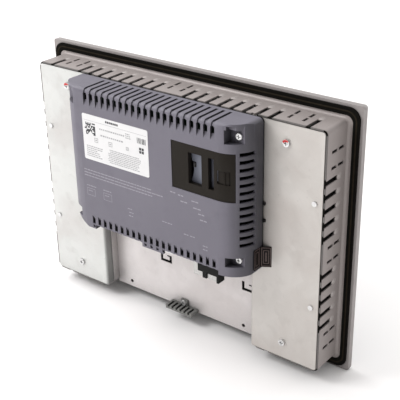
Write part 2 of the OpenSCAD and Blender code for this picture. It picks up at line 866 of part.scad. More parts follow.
module logic_chips() {
  color("#1d1e20") {
    block([24, 50], [board_top, 61], [61, 87]);
    for (x = [-36, -16], z = [20, 44, 68]) block([x, x + 14], [board_top, board_top + 1.6], [z, z + 18]);
    for (z = [8, 24]) block([30, 52], [board_top, board_top + 1.4], [z, z + 11]);
  }
}

module capacitors() {
  color("#3c4a66") for (x = [70, 82], z = [2, 14, 46]) rod_y(x, z, 4, board_top, board_top + 9);
}

module power_board() {
  color("#2c5f3c") block(power_x, [power_y, power_y + board_t], power_z);
  color("#b9bcbd") for (x = [power_x[0] + 14, power_x[1] - 5], z = [power_z[0] + 5, power_z[1] - 5])
    rod_y(x, z, 2, base_y, power_y);
}

module power_parts() {
  y = power_y + board_t;
  color("#c9a13b") block([-72, -48], [y, y + 10], [6, 30]);
  color("#2a2a2c") for (x = [-40, -28]) rod_y(x, 24, 4.5, y, y + 9.5);
  color("#8e6a3c") for (x = [-66, -50]) block([x, x + 11], [y, y + 6], [-14, -3]);
}

module battery_holder() {
  color("#2b2b2b") difference() {
    block([-42, -12], [board_top, board_top + 6], [98, 112]);
    rod_x(battery_y, 105, battery_r + 0.3, -40, -14);
  }
}

module backup_battery() {
  color("#c6c9c4") rod_x(battery_y, 105, battery_r, -39.5, -14.5);
}

// --- Connectors --------------------------------------------------------------------------

module interface_plate() {
  color("#b9bbb9") difference() {
    block(io_x, io_y, [io_z - io_t, io_z]);
    for (x = usb_xs) port_cut(x, usb_w + 0.4, [usb_y[0] - 0.2, usb_y[1] + 0.2]);
    for (x = lan_xs) port_cut(x, lan_w + 0.4, [lan_y[0] - 0.2, lan_y[1] + 0.2]);
    port_cut(serial_x, 19.4, [serial_y - 5, serial_y + 5]);
    port_cut(power_in_x, 18.4, [58.4, 69.4]);
    rod_z(ground_x, ground_y, 2.1, io_z - io_t - cut, io_z + cut);
    for (s = [-1, 1]) rod_z(serial_x + s * 12.5, serial_y, 1.7, io_z - io_t - cut, io_z + cut);
  }
}

module port_cut(x, w, y) {
  block([x - w / 2, x + w / 2], y, [io_z - io_t - cut, io_z + cut]);
}

// Black collar round the two USB shells
module usb_collar() {
  high = io_z - io_t;
  left = usb_xs[0] - usb_w / 2;
  right = usb_xs[1] - usb_w / 2;
  end = right - 2.8;
  color("#1b1a1a") difference() {
    union() {
      block([end, -61.5], [61.8, 72], [-36.6, high]);
      block([end, right - 0.2], [61.8, 72], [-44, -36.5]);
      block([usb_xs[1] + usb_w / 2 + 0.2, left - 0.2], [61.8, 72], [-43, -36.5]);
    }
    for (x = usb_xs) block([x - usb_w / 2 - 0.1, x + usb_w / 2 + 0.1], [usb_y[0] - 0.1, usb_y[1] + 0.1], [-50, 0]);
  }
}

module usb_shells() {
  color("#d9dada") for (x = usb_xs) difference() {
    block([x - usb_w / 2, x + usb_w / 2], usb_y, [usb_end, -12]);
    block([x - usb_w / 2 + 0.7, x + usb_w / 2 - 0.7], [usb_y[0] + 0.7, usb_y[1] - 0.7], [usb_end - cut, -13]);
  }
}

module usb_tongues() {
  color("#efefef") for (x = usb_xs) block([x - 5.4, x + 5.4], [usb_y[0] + 1.2, usb_y[0] + 3], [usb_end + 1.5, -13]);
}

module ethernet_ports() {
  color("#c4c6c5") for (x = lan_xs) difference() {
    block([x - lan_w / 2, x + lan_w / 2], lan_y, [lan_end, lan_top]);
    block([x - 6, x + 6], [lan_y[0] + 2, lan_y[0] + 9.5], [lan_end - cut, lan_top - 6]);
    block([x - 3, x + 3], [lan_y[0] + 9.4, lan_y[0] + 11.4], [lan_end - cut, lan_top - 6]);
  }
}

// Nine-pin connector: flange, D-shaped shell and pins
module serial_port() {
  high = io_z - io_t;
  color("#c9cac8") {
    difference() {
      block([serial_x - 15.4, serial_x + 15.4], [serial_y - 6.2, serial_y + 6.2], [high - 0.9, high]);
      for (s = [-1, 1]) rod_z(serial_x + s * 12.5, serial_y, 1.7, high - 2, high + cut);
    }
    difference() {
      serial_outline(0, high - 6.4, high - 0.8);
      serial_outline(0.5, high - 7, high - 1.6);
    }
    serial_outline(1.2, high - 1.7, io_z + 8);
  }
  color("#d3b45c") for (k = [0:4]) rod_z(serial_x - 5.5 + 2.75 * k, serial_y + 1.4, 0.5, high - 5.4, high - 1.6);
  color("#d3b45c") for (k = [0:3]) rod_z(serial_x - 4.1 + 2.75 * k, serial_y - 1.4, 0.5, high - 5.4, high - 1.6);
}

module serial_outline(inset, z0, z1) {
  translate([serial_x, serial_y, z0]) linear_extrude(z1 - z0) polygon([
    [-8.4 + inset, 4.1 - inset], [8.4 - inset, 4.1 - inset],
    [7.2 - inset, -4.1 + inset], [-7.2 + inset, -4.1 + inset]
  ]);
}

module serial_jackscrews() {
  low = io_z - io_t - 0.9;
  color("#c9cac8") for (s = [-1, 1]) translate([serial_x + s * 12.5, serial_y, low - 4.8]) difference() {
    cylinder(d = 5 / cos(30), h = 4.8, $fn = 6);
    translate([0, 0, -cut]) cylinder(r = 1.4, h = 5);
  }
  color("#c9cac8") for (s = [-1, 1]) rod_z(serial_x + s * 12.5, serial_y, 1.5, low, io_z + 3);
}

module power_socket() {
  color("#20242a") difference() {
    block([power_in_x - 9, power_in_x + 9], [58.7, 69.1], [io_z - io_t - 4, -8]);
    for (s = [-1, 1])
      block([power_in_x + s * 4.2 - 3.6, power_in_x + s * 4.2 + 3.6], [60, 67.8], [io_z - io_t - 4 - cut, -14]);
  }
}

module power_pins() {
  color("#cfd0cc") for (s = [-1, 1]) rod_z(power_in_x + s * 4.2, 64, 0.9, io_z - io_t - 2, -14);
}

module ground_stud() {
  color("#cdb66a") {
    rod_z(ground_x, ground_y, 2, io_z - io_t - 10, io_z);
    rod_z(ground_x, ground_y, 3.5, io_z, io_z + 1.2);
  }
}

module ground_nut() {
  high = io_z - io_t;
  color("#cfcfcc") difference() {
    translate([ground_x, ground_y, high - 3.2]) cylinder(d = 7 / cos(30), h = 3.2, $fn = 6);
    rod_z(ground_x, ground_y, 2.05, high - 4, high + cut);
  }
}

// --- Cable support and labels ------------------------------------------------------------

module strain_relief() {
  half = 18.5;
  low = -132.6;
  rib = [low + 1.9, low + 4.6];
  color("#3e3f3d") difference() {
    union() {
      block([-half, half], [plate_y, 31.6], [low, low + 2]);
      for (k = [0:6]) block([5.72 * k - half, 5.72 * k - half + 2.7], [plate_y + 2, 31.6], rib);
      block([-half, half], [plate_y, plate_y + 2.4], [low, low + 4.6]);
      block([-4.6, 4.6], [plate_y, plate_y + 2.4], [low + 4.5, -120.9]);
    }
    rod_y(0, comb_screw_z, 1.7, plate_y - cut, plate_y + 5);
  }
}

module strain_relief_screw() {
  color("#e0e0de") screw_y(0, comb_screw_z, 3.2, 2, 1.5, plate_y + 2.4, plate_y - 4);
}

module rating_label() {
  color("#f4f4f2") translate([40.4, 0, 78.1]) slab(89.8, 51.2, 2, box_rear, box_rear + 0.15);
}

// Thin seal that runs down the side of the housing and slants onto the rear cover
module seal_label() {
  side = box_x - box_half;
  film = 0.15;
  color("#231f1e") translate([0, 0, -27]) linear_extrude(23) polygon([
    [side, 54.3], [side - film, 54.3], [side - film, 43.1], [side - 9.7, cover_y + film],
    [side - 9.7, cover_y], [side - 9.45, cover_y], [side, 42.9]
  ]);
}

front_frame();
front_overlay();
touch_glass();
touch_seal();
panel_gasket();
lcd_frame();
lcd_glass();
diffuser_sheet();
light_guide();
backlight_tubes();
lcd_back();
display_bracket();
frame_screws();
inverter_board();
inverter_parts();
display_cable();
chassis_tray();
rear_cover_left();
rear_cover_right();
cover_seals();
cover_posts();
cover_screws();
cover_studs();
center_plate();
box_spacers();
box_base();
box_shell();
box_screws();
card_bay();
card_guide();
card_lock();
card_socket_large();
card_socket_small();
eject_button();
mainboard();
board_standoffs();
board_screws();
cpu_heatsink();
logic_chips();
capacitors();
power_board();
power_parts();
battery_holder();
backup_battery();
interface_plate();
usb_collar();
usb_shells();
usb_tongues();
ethernet_ports();
serial_port();
serial_jackscrews();
power_socket();
power_pins();
ground_stud();
ground_nut();
strain_relief();
strain_relief_screw();
rating_label();
seal_label();
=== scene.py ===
import math
import random

import bpy
from mathutils import Matrix, Vector


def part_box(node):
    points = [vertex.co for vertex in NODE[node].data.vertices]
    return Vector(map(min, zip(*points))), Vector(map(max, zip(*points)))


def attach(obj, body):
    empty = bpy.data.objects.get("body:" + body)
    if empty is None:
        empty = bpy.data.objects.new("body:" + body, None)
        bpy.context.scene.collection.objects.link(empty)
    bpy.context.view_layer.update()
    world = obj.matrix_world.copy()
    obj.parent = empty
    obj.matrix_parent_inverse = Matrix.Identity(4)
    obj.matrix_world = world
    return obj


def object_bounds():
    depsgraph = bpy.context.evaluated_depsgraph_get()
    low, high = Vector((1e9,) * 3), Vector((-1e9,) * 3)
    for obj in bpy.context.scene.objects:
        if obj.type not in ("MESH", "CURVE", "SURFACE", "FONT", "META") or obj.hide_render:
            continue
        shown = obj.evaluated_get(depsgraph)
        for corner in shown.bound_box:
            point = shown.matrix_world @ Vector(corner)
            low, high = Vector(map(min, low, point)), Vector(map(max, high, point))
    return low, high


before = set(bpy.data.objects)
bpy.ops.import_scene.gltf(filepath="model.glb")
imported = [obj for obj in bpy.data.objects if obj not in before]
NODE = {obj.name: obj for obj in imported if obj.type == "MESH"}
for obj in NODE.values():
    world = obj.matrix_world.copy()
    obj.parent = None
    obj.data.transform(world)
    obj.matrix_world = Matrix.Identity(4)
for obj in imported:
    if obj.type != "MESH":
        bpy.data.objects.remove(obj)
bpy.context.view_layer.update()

# Rear view of a panel-mount touch display. The CAD nodes are shown as they are, with bevelled edges
# and procedural finishes; the rest is printed matter, paint marks and small trim.
MM = 0.001
rng = random.Random(20)
scene = bpy.context.scene


# --- Finishes ----------------------------------------------------------------------------

class Finish:
    """A procedural material that is built up from layers in object space."""

    def __init__(self, name, colour, roughness, metallic=0.0, **sockets):
        self.material = bpy.data.materials.new(name)
        self.material.use_nodes = True
        self.tree = self.material.node_tree
        self.tree.nodes.clear()
        output = self.add("ShaderNodeOutputMaterial")
        self.shader = self.add("ShaderNodeBsdfPrincipled")
        self.link(self.shader.outputs["BSDF"], output.inputs["Surface"])
        self.coords = self.add("ShaderNodeTexCoord").outputs["Object"]
        self.colour = colour
        self.colour_out = None
        self.rough = roughness
        self.rough_out = None
        self.height_out = None
        self.set("Base Color", (*colour, 1))
        self.set("Roughness", roughness)
        self.set("Metallic", metallic)
        for key, value in sockets.items():
            self.set(key.replace("_", " "), value)

    def add(self, kind, **settings):
        node = self.tree.nodes.new(kind)
        for key, value in settings.items():
            if key in node.inputs:
                node.inputs[key].default_value = value
            else:
                setattr(node, key, value)
        return node

    def link(self, a, b):
        self.tree.links.new(a, b)

    def set(self, name, value):
        self.shader.inputs[name].default_value = value

    def mapped(self, scale):
        node = self.add("ShaderNodeMapping")
        node.inputs["Scale"].default_value = scale
        self.link(self.coords, node.inputs["Vector"])
        return node.outputs["Vector"]

    def noise(self, scale, detail=3.0, stretch=(1, 1, 1), distortion=0.0):
        node = self.add("ShaderNodeTexNoise", Scale=scale, Detail=detail, Distortion=distortion)
        self.link(self.mapped(stretch), node.inputs["Vector"])
        return node.outputs["Fac"]

    def cells(self, scale):
        node = self.add("ShaderNodeTexVoronoi", Scale=scale)
        self.link(self.coords, node.inputs["Vector"])
        return node.outputs["Color"]

    def ramp(self, value, low, high, dark=0.0, bright=1.0):
        node = self.add("ShaderNodeMapRange")
        node.inputs["From Min"].default_value = low
        node.inputs["From Max"].default_value = high
        node.inputs["To Min"].default_value = dark
        node.inputs["To Max"].default_value = bright
        self.link(value, node.inputs["Value"])
        return node.outputs["Result"]

    def tint(self, mask, colour, amount):
        """Lays a colour over what is there, as strong as the mask times amount."""
        mix = self.add("ShaderNodeMix", data_type="RGBA")
        factor = self.add("ShaderNodeMath", operation="MULTIPLY")
        factor.inputs[1].default_value = amount
        self.link(mask, factor.inputs[0])
        self.link(factor.outputs[0], mix.inputs[0])
        if self.colour_out is None:
            mix.inputs[6].default_value = (*self.colour, 1)
        else:
            self.link(self.colour_out, mix.inputs[6])
        mix.inputs[7].default_value = (*colour, 1)
        self.colour_out = mix.outputs[2]
        self.link(self.colour_out, self.shader.inputs["Base Color"])

    def rougher(self, mask, amount):
        """Adds the mask times amount to the roughness."""
        node = self.add("ShaderNodeMath", operation="MULTIPLY_ADD", use_clamp=True)
        node.inputs[1].default_value = amount
        self.link(mask, node.inputs[0])
        if self.rough_out is None:
            node.inputs[2].default_value = self.rough
        else:
            self.link(self.rough_out, node.inputs[2])
        self.rough_out = node.outputs[0]
        self.link(self.rough_out, self.shader.inputs["Roughness"])

    def mottle(self, scale, detail, amount):
        """Makes the roughness vary both ways by half the amount, in soft patches."""
        self.rougher(self.ramp(self.noise(scale, detail), 0.3, 0.7, -0.5, 0.5), amount)

    def bump(self, mask, depth_mm, strength):
        """Raises the surface where the mask is bright."""
        node = self.add("ShaderNodeBump")
        node.inputs["Strength"].default_value = strength
        node.inputs["Distance"].default_value = depth_mm * MM
        self.link(mask, node.inputs["Height"])
        if self.height_out is not None:
            self.link(self.height_out, node.inputs["Normal"])
        self.height_out = node.outputs["Normal"]
        self.link(self.height_out, self.shader.inputs["Normal"])

    def painted_cavity_shade(self, reach_mm, colour, amount, sharp=0.55):
        """Paints shade into slots, gaps and interiors: darkens them where little of the room is seen."""
        node = self.add("ShaderNodeAmbientOcclusion", samples=6)
        node.inputs["Distance"].default_value = reach_mm * MM
        self.tint(self.ramp(node.outputs["AO"], 0.15, sharp, 1.0, 0.0), colour, amount)

    def dim_side(self, amount):
        """Darkens faces that look towards -X, the side that gets less of the light."""
        split = self.add("ShaderNodeSeparateXYZ")
        self.link(self.add("ShaderNodeNewGeometry").outputs["Normal"], split.inputs[0])
        self.tint(self.ramp(split.outputs["X"], -0.3, -1.0), (0.02, 0.02, 0.022), amount)

    def edges(self, width_mm):
        """A mask that is bright on edges, broken up in patches."""
        bevel = self.add("ShaderNodeBevel", samples=6)
        bevel.inputs["Radius"].default_value = width_mm * MM
        geometry = self.add("ShaderNodeNewGeometry")
        dot = self.add("ShaderNodeVectorMath", operation="DOT_PRODUCT")
        self.link(bevel.outputs["Normal"], dot.inputs[0])
        self.link(geometry.outputs["Normal"], dot.inputs[1])
        edge = self.ramp(dot.outputs["Value"], 0.995, 0.8)
        breakup = self.ramp(self.noise(160, 4), 0.35, 0.65)
        both = self.add("ShaderNodeMath", operation="MULTIPLY")
        self.link(edge, both.inputs[0])
        self.link(breakup, both.inputs[1])
        return both.outputs[0]


def shade(colour, factor, lift=0.0):
    """The colour made darker or lighter."""
    return tuple(min(1, c * factor + lift) for c in colour)


def zinc(name, colour, stain, reach_mm=18, sharp=0.45, dim=0.0):
    """Zinc-coated sheet: soft spangle, rolled grain, cloudy stains and fine scratches."""
    f = Finish(name, colour, 0.42, 0.35)
    spangle = f.cells(95)
    f.tint(f.ramp(spangle, 0.2, 0.9), shade(colour, 0.9), 0.35)
    f.tint(f.ramp(f.noise(14, 5, distortion=0.6), 0.46, 0.68), stain, 0.6)
    f.tint(f.ramp(f.noise(55, 6), 0.56, 0.75), shade(stain, 0.8), 0.3)
    f.tint(f.ramp(f.noise(330, 3), 0.66, 0.8), (0.36, 0.35, 0.33), 0.35)
    f.rougher(f.ramp(spangle, 0.0, 1.0, -0.5, 0.5), 0.16)
    f.mottle(26, 4, 0.14)
    f.bump(f.noise(900, 3), 0.02, 0.35)
    f.bump(f.noise(45, 2), 0.12, 0.3)
    # Painted shade in slots, gaps and hollows.
    f.painted_cavity_shade(reach_mm, (0.05, 0.046, 0.045), 0.8, sharp)
    f.dim_side(dim)
    return f.material


def moulded(name, colour, dust=0.25, dark=(0.004, 0.004, 0.005), specular=0.3, dim=0.0, sharp=0.5):
    """Moulded plastic with spark-eroded grain, slight sink marks and dusty wear."""
    f = Finish(name, colour, 0.5, Specular_IOR_Level=specular)
    f.tint(f.ramp(f.noise(18, 4), 0.45, 0.75), shade(colour, 1.18), 0.5)
    f.tint(f.ramp(f.noise(70, 5), 0.55, 0.8), shade(colour, 0.82), 0.4)
    f.tint(f.edges(0.6), shade(colour, 1.5, 0.05), dust)
    f.tint(f.ramp(f.noise(600, 2), 0.62, 0.8), shade(colour, 1.35, 0.02), 0.2)
    f.mottle(35, 4, 0.16)
    f.bump(f.noise(2600, 2), 0.03, 0.5)
    f.bump(f.noise(30, 2), 0.12, 0.2)
    # Painted shade in cavities, tinted towards the dark colour.
    f.painted_cavity_shade(26, dark, 0.97, sharp)
    f.dim_side(dim)
    return f.material


def coated(name, colour, edge_tint, metallic=0.15):
    """Thin satin coating on metal, with fine orange peel and lighter edges."""
    f = Finish(name, colour, 0.45, metallic)
    f.tint(f.ramp(f.noise(11, 4), 0.4, 0.75), shade(colour, 0.88), 0.5)
    f.tint(f.ramp(f.noise(120, 5, (1, 0.2, 1)), 0.52, 0.75), shade(colour, 0.85), 0.3)
    f.tint(f.edges(0.5), edge_tint, 0.45)
    f.mottle(40, 4, 0.18)
    f.bump(f.noise(1500, 2), 0.02, 0.45)
    f.bump(f.noise(22, 2), 0.1, 0.15)
    # Painted shade in slots, gaps and hollows.
    f.painted_cavity_shade(28, (0.006, 0.0055, 0.005), 0.97, 0.5)
    return f.material


def rubber(name, colour):
    """Matt foam rubber with paler, dusty patches."""
    f = Finish(name, colour, 0.85, Specular_IOR_Level=0.04)
    f.tint(f.ramp(f.noise(240, 4), 0.5, 0.75), shade(colour, 1.8), 0.5)
    f.mottle(60, 3, 0.2)
    f.bump(f.noise(1800, 3), 0.04, 0.6)
    return f.material


def plated(name, colour, rough):
    """Bright plated metal with turning marks and handling scratches."""
    f = Finish(name, colour, rough, 0.95)
    f.tint(f.ramp(f.noise(300, 4), 0.5, 0.75), shade(colour, 0.7), 0.5)
    f.rougher(f.ramp(f.noise(500, 3), 0.35, 0.7), 0.22)
    f.bump(f.noise(2200, 2, (1, 0.1, 1)), 0.02, 0.4)
    # Painted shade in slots, gaps and hollows.
    f.painted_cavity_shade(20, (0.03, 0.03, 0.03), 0.9, 0.4)
    return f.material


def printed(name, colour, rough=0.5, specular=0.2):
    """Film or ink: even, faintly mottled."""
    f = Finish(name, colour, rough, Specular_IOR_Level=specular)
    f.tint(f.ramp(f.noise(90, 4), 0.5, 0.8), shade(colour, 0.9), 0.5)
    f.mottle(70, 3, 0.15)
    f.bump(f.noise(700, 2), 0.015, 0.3)
    return f.material


def board_finish(name, colour):
    """Solder mask over tracks."""
    f = Finish(name, colour, 0.35)
    tracks = f.noise(160, 0, (1, 1, 0.15))
    f.tint(f.ramp(tracks, 0.5, 0.53), shade(colour, 1.5), 0.7)
    f.tint(f.ramp(f.cells(420), 0.86, 0.9), (0.75, 0.7, 0.5), 0.6)
    f.mottle(60, 3, 0.15)
    f.bump(tracks, 0.04, 0.5)
    # Painted shade between the parts on the board.
    f.painted_cavity_shade(30, (0.002, 0.004, 0.003), 0.97, 0.6)
    return f.material


def screen(name):
    """Dark glass with faint smears."""
    f = Finish(name, (0.012, 0.014, 0.016), 0.16, Specular_IOR_Level=0.6)
    f.tint(f.ramp(f.noise(30, 3), 0.5, 0.8), (0.02, 0.023, 0.026), 0.6)
    f.rougher(f.ramp(f.noise(140, 4), 0.45, 0.7), 0.08)
    f.bump(f.noise(3000, 2), 0.008, 0.25)
    return f.material


# The left cover's zinc is lighter than the right cover's: painted light, as the left side gets more of the
# light. Its long cavity reach paints broad shade beside its fold and the housing.
ZINC_LIT_LEFT = zinc("zinc_lit_left", (0.605, 0.61, 0.595), (0.50, 0.475, 0.46), 50, 0.75, 0.5)
ZINC_WARM = zinc("zinc_warm", (0.54, 0.515, 0.49), (0.44, 0.40, 0.375))
# Its long cavity reach paints broad shade on the plate beside the covers' folds and under the housing.
ZINC_PLATE = zinc("zinc_plate", (0.68, 0.645, 0.64), (0.58, 0.54, 0.53), 60, 0.8)
# A near-black copy of the zinc finish for the parts inside the chassis: painted shade, so the interior looks
# dark through the slots.
ZINC_SHADED_INSIDE = zinc("zinc_shaded_inside", (0.07, 0.067, 0.065), (0.05, 0.047, 0.045))
TAUPE = coated("chassis_coat", (0.30, 0.265, 0.256), (0.5, 0.47, 0.45), 0.1)
# A dark copy of the chassis coat for the wall rim: painted shade.
SHADED_RIM_COAT = coated("shaded_rim_coat", (0.11, 0.1, 0.096), (0.2, 0.19, 0.18), 0.1)
# A lighter copy of the chassis coat for the slot blisters: painted light where their slopes catch the lamps.
LIT_BLISTER_COAT = coated("lit_blister_coat", (0.37, 0.335, 0.325), (0.5, 0.47, 0.45), 0.1)
FRAME_COAT = coated("frame_coat", (0.29, 0.265, 0.26), (0.62, 0.60, 0.59))
# The dark colours and sharp levels of the mouldings set their painted cavity shade.
HOUSING = moulded("housing_grain", (0.144, 0.136, 0.165), dim=0.75, sharp=0.7)
BAY = moulded("bay_grain", (0.015, 0.0122, 0.0095), 0.1, specular=0.1)
GUIDE = moulded("guide_grain", (0.17, 0.18, 0.22), dark=(0.12, 0.125, 0.155))
PUSH_ROD = moulded("push_rod_grain", (0.05, 0.049, 0.05), 0.4)
DARK = moulded("dark_moulding", (0.008, 0.008, 0.008), 0.1, specular=0.12)
COMB = moulded("comb_moulding", (0.17, 0.17, 0.163), 0.25, specular=0.15, dark=(0.02, 0.02, 0.02))
WHITE = moulded("white_moulding", (0.72, 0.71, 0.68), 0.1, dark=(0.2, 0.2, 0.2))
PARTS = moulded("part_moulding", (0.03, 0.03, 0.034), 0.1)
GASKET = rubber("gasket_rubber", (0.006, 0.0054, 0.0046))
GASKET_EDGE = rubber("gasket_fold", (0.02, 0.016, 0.011))
BRIGHT = plated("bright_plate", (0.66, 0.66, 0.66), 0.22)
TINNED = plated("tinned_shell", (0.48, 0.475, 0.465), 0.26)
PORT_STEEL = plated("port_steel", (0.2, 0.195, 0.19), 0.4)
BRASS = plated("brass_plate", (0.8, 0.62, 0.3), 0.3)
ALUMINIUM = plated("extruded_aluminium", (0.7, 0.71, 0.72), 0.4)
BOARD = board_finish("solder_mask", (0.008, 0.045, 0.02))
SCREEN = screen("screen_glass")
OVERLAY = printed("overlay_film", (0.115, 0.125, 0.135), 0.45)
LABEL = printed("label_film", (0.69, 0.685, 0.69), 0.4)
SEAL = printed("seal_film", (0.007, 0.005, 0.0045), 0.5, 0.06)
INK = printed("label_ink", (0.05, 0.05, 0.055))
GREY_INK = printed("label_grey_ink", (0.34, 0.34, 0.35))
PALE_INK = printed("housing_print", (0.29, 0.275, 0.31))
SEAL_INK = printed("seal_ink", (0.15, 0.115, 0.11), 0.5, 0.06)
RED = printed("red_lacquer", (0.50, 0.02, 0.02), 0.3)

FINISHES = {
    ZINC_LIT_LEFT: ["rear_cover_left"],
    ZINC_WARM: ["rear_cover_right"],
    ZINC_PLATE: ["center_plate"],
    ZINC_SHADED_INSIDE: ["display_bracket", "interface_plate"],
    TAUPE: ["chassis_tray"],
    FRAME_COAT: ["front_frame"],
    OVERLAY: ["front_overlay"],
    HOUSING: ["box_shell"],
    BAY: ["card_bay", "card_lock"],
    GUIDE: ["card_guide"],
    PUSH_ROD: ["eject_button"],
    DARK: [
        "box_base", "card_socket_large", "card_socket_small", "battery_holder", "usb_collar", "power_socket",
    ],
    COMB: ["strain_relief"],
    WHITE: ["diffuser_sheet", "light_guide", "backlight_tubes", "display_cable", "usb_tongues"],
    PARTS: ["inverter_parts", "logic_chips", "capacitors", "power_parts"],
    GASKET: ["panel_gasket", "touch_seal", "cover_seals"],
    BRIGHT: [
        "lcd_frame", "lcd_back", "frame_screws", "cover_posts", "cover_screws", "cover_studs", "box_spacers",
        "box_screws", "board_screws", "backup_battery",
        "serial_port", "serial_jackscrews", "ground_nut", "strain_relief_screw",
    ],
    TINNED: ["usb_shells"],
    PORT_STEEL: ["ethernet_ports"],
    BRASS: ["board_standoffs", "power_pins", "ground_stud"],
    ALUMINIUM: ["cpu_heatsink"],
    BOARD: ["inverter_board", "mainboard", "power_board"],
    SCREEN: ["touch_glass", "lcd_glass"],
    LABEL: ["rating_label"],
    SEAL: ["seal_label"],
}
USUAL_BEVEL_MM = 0.2
WELD_MM = 0.01
SHARP_ANGLE = math.radians(40)
BEVEL_MM = {
    "front_frame": 0.8, "box_shell": 0.5, "chassis_tray": 0.25, "panel_gasket": 0.3, "card_bay": 0.3,
    "rear_cover_left": 0.35, "rear_cover_right": 0.35, "center_plate": 0.0, "strain_relief": 0.4,
    "cover_screws": 0.5, "box_screws": 0.4, "cover_studs": 0.4, "strain_relief_screw": 0.4,
    "rating_label": 0.0, "seal_label": 0.0, "front_overlay": 0.1, "touch_glass": 0.2,
}


def finish_node(node, material):
    """Gives a CAD node its finish, and bevels its sharp edges."""
    obj = NODE[node]
    obj.data.materials.clear()
    obj.data.materials.append(material)
    width = BEVEL_MM.get(node, USUAL_BEVEL_MM)
    if not width:
        return
    weld = obj.modifiers.new("weld", "WELD")
    weld.merge_threshold = WELD_MM * MM
    bevel = obj.modifiers.new("edges", "BEVEL")
    bevel.width = width * MM
    bevel.segments = 2
    bevel.limit_method = "ANGLE"
    bevel.angle_limit = SHARP_ANGLE
    bevel.use_clamp_overlap = True
    bevel.harden_normals = False


for material, nodes in FINISHES.items():
    for node in nodes:
        finish_node(node, material)


# --- Helpers for pieces ------------------------------------------------------------------

# Thin boxes, rows and outlines are lists of (low corner, high corner) in millimetres.
INK_DEPTH = 0.05
BLOCK_PROUD = 0.04
WORD_GAP = 0.6


def box_mm(node):
    """Lowest and highest corners of a CAD node at rest, in millimetres."""
    return [[v / MM for v in corner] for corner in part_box(node)]


def mesh_piece(name, vertices, faces, material, smooth=True):
    """A piece that is fixed to the panel, from vertices in millimetres."""
    mesh = bpy.data.meshes.new(name)
    mesh.from_pydata([[c * MM for c in v] for v in vertices], [], faces)
    mesh.materials.append(material)
    for face in mesh.polygons:
        face.use_smooth = smooth
    obj = bpy.data.objects.new(name, mesh)
    scene.collection.objects.link(obj)
    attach(obj, "panel")


def boxes_piece(name, items, material):
    """One piece of many thin boxes."""
    corners = [(0, 0, 0), (1, 0, 0), (1, 1, 0), (0, 1, 0), (0, 0, 1), (1, 0, 1), (1, 1, 1), (0, 1, 1)]
    sides = [(0, 3, 2, 1), (4, 5, 6, 7), (0, 1, 5, 4), (1, 2, 6, 5), (2, 3, 7, 6), (3, 0, 4, 7)]
    vertices, faces = [], []
    for low, high in items:
        first = len(vertices)
        for corner in corners:
            vertices.append([(high if c else low)[i] for i, c in enumerate(corner)])
        faces.extend(tuple(first + i for i in side) for side in sides)
    mesh_piece(name, vertices, faces, material, smooth=False)


def block(x_left, z_top, y, width, height):
    """A printed rectangle on a face that looks to +Y. Seen from behind, its left end has the highest X."""
    return (x_left - width, y - INK_DEPTH, z_top - height), (x_left, y + BLOCK_PROUD, z_top)


def print_row(x_left, z, y, height, words, gap=None):
    """A row of short bars that runs towards -X, as a line of print does seen from behind."""
    gap = height * 0.6 if gap is None else gap
    row, x = [], x_left
    for word in words:
        row.append(((x - word, y - INK_DEPTH, z - height / 2), (x, y + INK_DEPTH, z + height / 2)))
        x -= word + gap
    return row


def random_words(length, low, high):
    """Lengths of words between low and high that fill a line of the given length."""
    words, used = [], 0.0
    while used < length:
        words.append(rng.uniform(low, high))
        used += words[-1] + WORD_GAP
    return words


def frame_bars(u0, u1, z0, z1, line):
    """The four bars (u0, u1, z0, z1) of a hollow frame: upper, lower, first and last."""
    return [
        (u0, u1, z1 - line, z1), (u0, u1, z0, z0 + line),
        (u0, u0 + line, z0, z1), (u1 - line, u1, z0, z1),
    ]


def outline(x_left, z_top, y, width, height, line):
    """A printed hollow frame."""
    bars = frame_bars(x_left - width, x_left, z_top - height, z_top, line)
    return [((x0, y - INK_DEPTH, z0), (x1, y + INK_DEPTH, z1)) for x0, x1, z0, z1 in bars]


def dome(vertices, faces, centre, across, along, normal, radii, height, rings=4, around=14):
    """A shallow blister on a face: an ellipse in the face, raised along its normal."""
    first = len(vertices)
    centre, across, along, normal = (Vector(v) for v in (centre, across, along, normal))
    for ring in range(rings + 1):
        level = ring / rings
        lift = height * math.cos(level * math.pi / 2) - 0.02 * level
        for k in range(around):
            a = 2 * math.pi * k / around
            spread = across * radii[0] * math.cos(a) + along * radii[1] * math.sin(a)
            vertices.append(centre + spread * level + normal * lift)
    for ring in range(rings):
        for k in range(around):
            a, b = first + ring * around + k, first + ring * around + (k + 1) % around
            faces.append((a, a + around, b + around, b))


def rounded_loop(width, height, radius, steps=10):
    """Points of a rounded rectangle in X and Z, counter-clockwise."""
    points = []
    for sx, sz, start in ((1, 1, 0), (-1, 1, 90), (-1, -1, 180), (1, -1, 270)):
        centre_x, centre_z = sx * (width / 2 - radius), sz * (height / 2 - radius)
        for k in range(steps + 1):
            a = math.radians(start + 90 * k / steps)
            points.append((centre_x + radius * math.cos(a), centre_z + radius * math.sin(a)))
    return points


def span(side, near, far):
    """Lower and upper end of the stretch from near to far on one side of zero."""
    return sorted((side * near, side * far))


def unslotted(low, high, slots, gap):
    """The stretches between low and high that stay clear of the slots by the gap."""
    ends = [low] + [slot + d for slot in sorted(slots) if low < slot < high for d in (-gap, gap)] + [high]
    return zip(ends[::2], ends[1::2])


# --- Printed matter ----------------------------------------------------------------------

LABEL_LO, LABEL_HI = box_mm("rating_label")
LEFT, REAR, TOP = LABEL_HI


